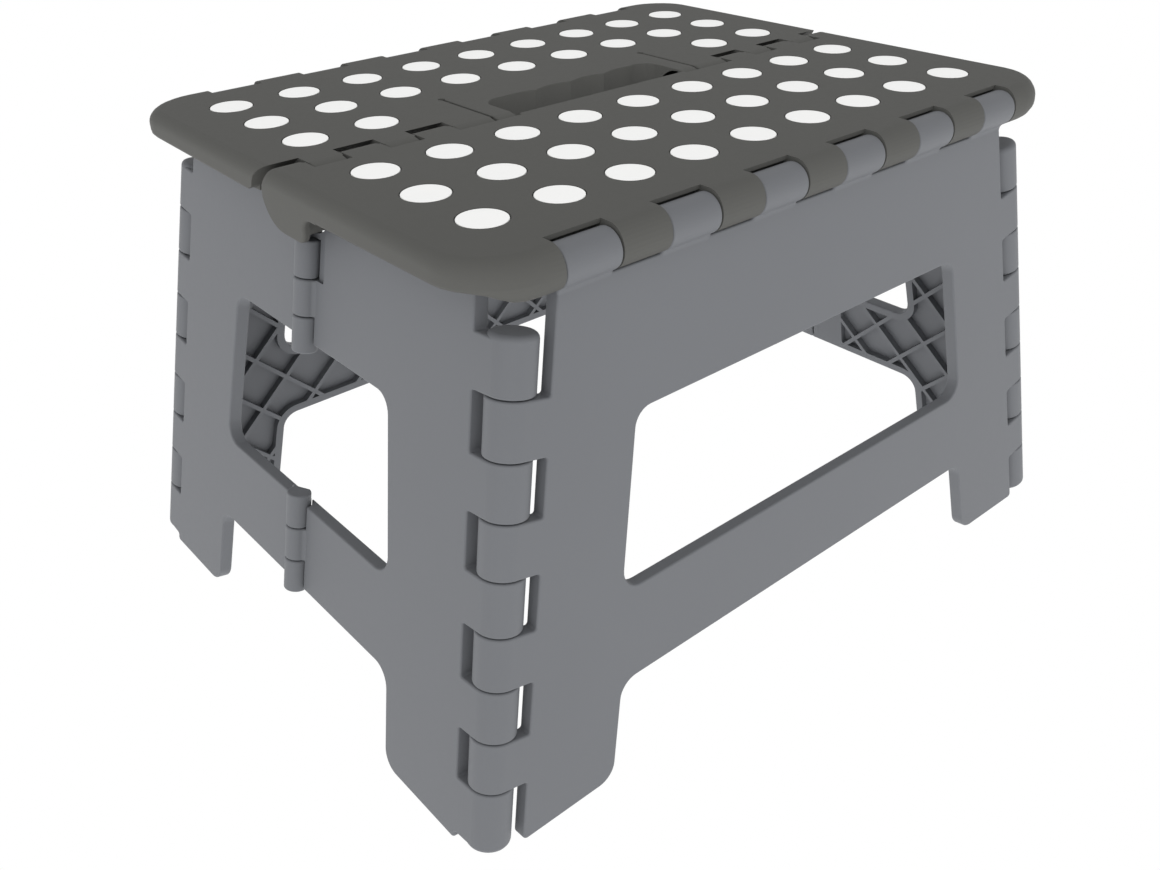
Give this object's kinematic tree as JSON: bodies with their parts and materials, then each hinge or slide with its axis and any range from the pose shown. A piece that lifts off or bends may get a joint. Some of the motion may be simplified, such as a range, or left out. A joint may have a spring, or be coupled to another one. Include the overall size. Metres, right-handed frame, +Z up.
{
  "type": "folding step stool",
  "caption": "Low folding step stool with a split deck, flush round grip dots, a finger opening in the centre seam and windowed, hinged side and end panels.",
  "frame": {"origin": "on the floor, under the middle of the deck", "axes": "+X along the deck's centre seam, +Y to the rear half with the finger opening, +Z up"},
  "size_m": [0.3704, 0.2852, 0.22],
  "materials": {
    "deck_plastic": "dark warm grey moulded plastic, fine matt grain",
    "panel_plastic": "mid cool grey moulded plastic, fine matt grain",
    "grip_rubber": "matt white",
    "pin_steel": "plain drawn"
  },
  "bodies": {
    "side_front": {"side_panel_front": "panel_plastic", "top_edge_pin_front": "pin_steel", "corner_pin_left_front": "pin_steel", "corner_pin_right_front": "pin_steel"},
    "side_rear": {"side_panel_rear": "panel_plastic", "top_edge_pin_rear": "pin_steel", "corner_pin_left_rear": "pin_steel", "corner_pin_right_rear": "pin_steel"},
    "end_left_front": {"end_panel_left_front": "panel_plastic", "end_pin_left_upper": "pin_steel", "end_pin_left_lower": "pin_steel"},
    "end_left_rear": {"end_panel_left_rear": "panel_plastic"},
    "end_right_front": {"end_panel_right_front": "panel_plastic"},
    "end_right_rear": {"end_panel_right_rear": "panel_plastic", "end_pin_right_upper": "pin_steel", "end_pin_right_lower": "pin_steel"},
    "top_front": {"top_panel_front": "deck_plastic", "grip_dots_front": "grip_rubber", "centre_pin_left": "pin_steel", "centre_pin_right": "pin_steel"},
    "top_rear": {"top_panel_rear": "deck_plastic", "grip_dots_rear": "grip_rubber"}
  },
  "joints": [
    {"name": "deck_fold", "type": "hinge", "parent": "side_front", "child": "top_front", "pos_m": [0, -0.1195, 0.2115], "axis": [1, 0, 0], "range_deg": [0, 72.24]},
    {"name": "corner_left_front", "type": "hinge", "parent": "side_front", "child": "end_left_front", "pos_m": [-0.15341, -0.1225, 0.11], "axis": [-0.2044, -0.1022, -0.9735], "range_deg": [0, 84.01]},
    {"name": "middle_left", "type": "hinge", "parent": "end_left_front", "child": "end_left_rear", "pos_m": [-0.16261, 0, 0.11], "axis": [0.2055, 0, 0.9787], "range_deg": [0, 166.2]},
    {"name": "corner_left_rear", "type": "hinge", "parent": "end_left_rear", "child": "side_rear", "pos_m": [-0.15341, 0.1225, 0.11], "axis": [-0.2044, 0.1022, -0.9735], "range_deg": [0, 84.01]},
    {"name": "corner_right_front", "type": "hinge", "parent": "side_front", "child": "end_right_front", "pos_m": [0.15341, -0.1225, 0.11], "axis": [-0.2044, 0.1022, 0.9735], "range_deg": [0, 84.01]},
    {"name": "corner_right_rear", "type": "hinge", "parent": "side_rear", "child": "end_right_rear", "pos_m": [0.15341, 0.1225, 0.11], "axis": [0.2044, 0.1022, -0.9735], "range_deg": [0, 84.01]},
    {"name": "deck_fold_rear", "type": "hinge", "parent": "side_rear", "child": "top_rear", "pos_m": [0, 0.1195, 0.2115], "axis": [-1, 0, 0], "range_deg": [0, 72.25]}
  ],
  "couplings": [
    {"joint": "corner_left_front", "follows": "deck_fold", "ratio": 1.1628},
    {"joint": "corner_left_rear", "follows": "deck_fold", "ratio": 1.1628},
    {"joint": "corner_right_front", "follows": "deck_fold", "ratio": 1.1628},
    {"joint": "corner_right_rear", "follows": "deck_fold", "ratio": 1.1628},
    {"joint": "middle_left", "follows": "deck_fold", "ratio": 2.2994},
    {"joint": "deck_fold_rear", "follows": "deck_fold", "ratio": 1}
  ]
}
